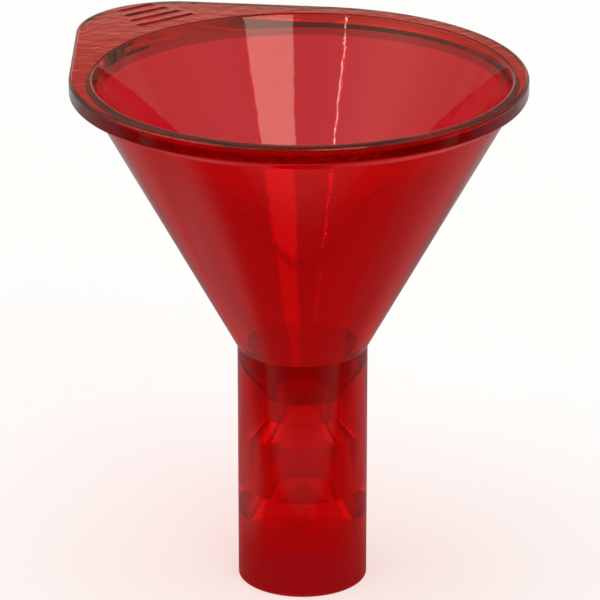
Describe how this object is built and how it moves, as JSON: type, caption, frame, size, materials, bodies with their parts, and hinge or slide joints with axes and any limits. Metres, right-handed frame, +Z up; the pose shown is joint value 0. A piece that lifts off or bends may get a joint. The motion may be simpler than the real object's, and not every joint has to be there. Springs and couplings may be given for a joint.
{
  "type": "funnel",
  "caption": "Small funnel of clear red plastic: conical bowl with a flat thumb-tab rim over a short drop tube with a stepped socket.",
  "frame": {"origin": "centre of the drop tube's open lower end, on the funnel's axis", "axes": "+Z up along the funnel's axis from tube to bowl, the thumb tab towards -X and +Y"},
  "size_m": [0.0546, 0.0567, 0.0645],
  "materials": {
    "red_plastic": "clear tinted, glossy"
  },
  "bodies": {
    "root": {"mouth_socket": "red_plastic", "small_socket": "red_plastic", "throat_neck": "red_plastic", "cone_bowl": "red_plastic", "mouth_ring": "red_plastic", "rim_flange": "red_plastic", "grip_bars": "red_plastic"}
  },
  "joints": []
}
